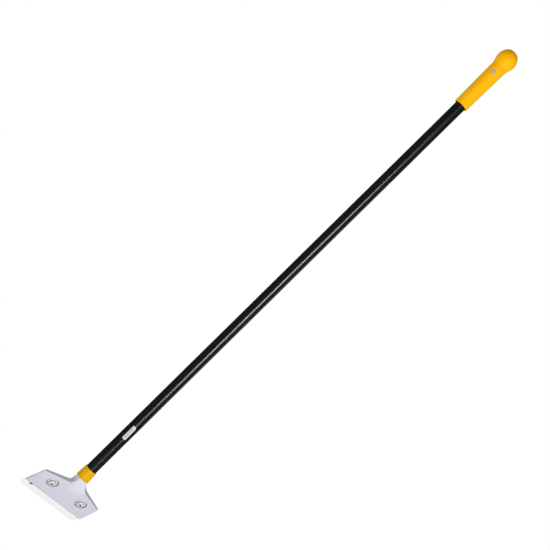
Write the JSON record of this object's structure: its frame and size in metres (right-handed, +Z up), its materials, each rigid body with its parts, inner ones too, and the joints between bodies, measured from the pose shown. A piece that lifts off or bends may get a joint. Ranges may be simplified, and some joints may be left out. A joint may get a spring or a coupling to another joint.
{
  "type": "floor scraper",
  "caption": "Long-handled floor scraper with a tubular handle, a ball-ended grip and an angled cast head that clamps a wide replaceable blade.",
  "frame": {"origin": "on the axis of the handle tube, at the top rim of the lower collar", "axes": "+Z up the handle from the head to the grip; +X along the cutting edge; the flat face of the head looks towards -Y and down"},
  "size_m": [0.15, 0.051, 1.2485],
  "materials": {
    "cast_aluminium": "die-cast, fine blasted, silver lacquer",
    "blade_steel": "ground and polished",
    "black_steel": "black oxide",
    "plated_steel": "bright zinc plated",
    "rivet_metal": "satin",
    "yellow_plastic": "moulded, satin gloss",
    "black_paint": "gloss black paint on steel tube",
    "white_label": "plain film sticker"
  },
  "bodies": {
    "handle": {"head_casting": "cast_aluminium", "lower_collar": "yellow_plastic", "neck_pin": "plated_steel", "handle_tube": "black_paint", "tube_label": "white_label", "grip": "yellow_plastic", "grip_end_cap": "yellow_plastic", "grip_rivet": "rivet_metal", "rivet_mandrel": "plated_steel", "flat_washer_left": "plated_steel", "flat_washer_right": "plated_steel", "spring_washer_left": "plated_steel", "spring_washer_right": "plated_steel"},
    "clamp": {"clamp_plate": "black_steel", "clamp_nut_left": "plated_steel", "clamp_nut_right": "plated_steel"},
    "screw_left": {"clamp_screw_left": "plated_steel"},
    "screw_right": {"clamp_screw_right": "plated_steel"},
    "blade": {"blade": "blade_steel"}
  },
  "joints": [
    {"name": "clamp_drop", "type": "slide", "parent": "handle", "child": "clamp", "axis": [0, 0.8572, 0.515], "range_m": [0, 0.0015]},
    {"name": "screw_left_turn", "type": "hinge", "parent": "handle", "child": "screw_left", "pos_m": [-0.0395, -0.00084, -0.06542], "axis": [0, -0.8572, -0.515], "range_deg": [0, 540]},
    {"name": "screw_right_turn", "type": "hinge", "parent": "handle", "child": "screw_right", "pos_m": [0.0395, -0.00084, -0.06542], "axis": [0, -0.8572, -0.515], "range_deg": [0, 540]},
    {"name": "blade_slide", "type": "slide", "parent": "handle", "child": "blade", "axis": [0, 0.515, -0.8572], "range_m": [0, 0.028]}
  ],
  "couplings": [
    {"joint": "screw_left_turn", "follows": "clamp_drop", "rad_per_m": 6283.2},
    {"joint": "screw_right_turn", "follows": "clamp_drop", "rad_per_m": 6283.2}
  ]
}
